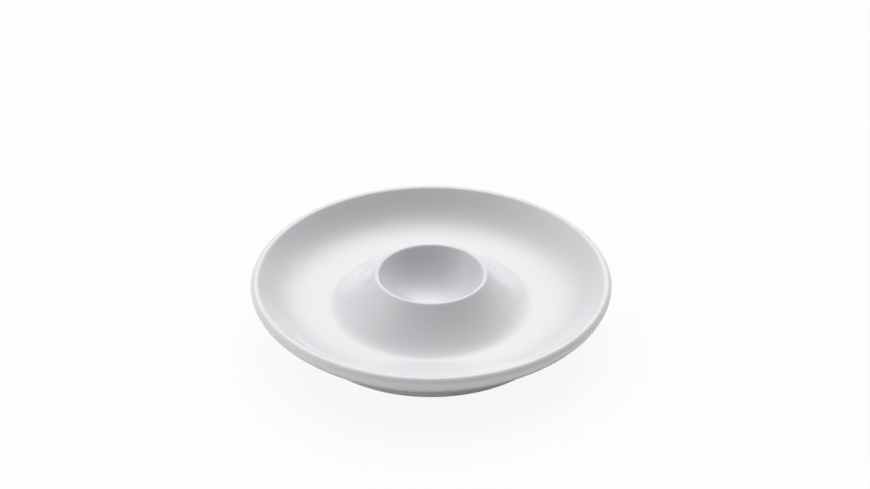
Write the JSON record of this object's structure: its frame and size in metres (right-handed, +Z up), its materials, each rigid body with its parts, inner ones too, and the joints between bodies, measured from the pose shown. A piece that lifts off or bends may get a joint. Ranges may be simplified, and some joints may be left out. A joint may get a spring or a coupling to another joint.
{
  "type": "egg cup",
  "caption": "Low egg cup rising from the middle of its own round tray, one glazed porcelain piece with a rolled rim, a thin lip, a bowl-shaped well and a bare foot ring.",
  "frame": {"origin": "centre of the circle on which the foot ring stands, in the plane of the table", "axes": "+Z up along the turning axis; +X and +Y are any two directions across it, as the piece is the same all round"},
  "size_m": [0.145, 0.145, 0.0233],
  "materials": {
    "bare_porcelain": "matte, ground",
    "face_glaze": "gloss",
    "underside_glaze": "gloss"
  },
  "bodies": {
    "root": {"porcelain_body": "bare_porcelain", "face_glaze": "face_glaze", "underside_glaze": "underside_glaze"}
  },
  "joints": []
}
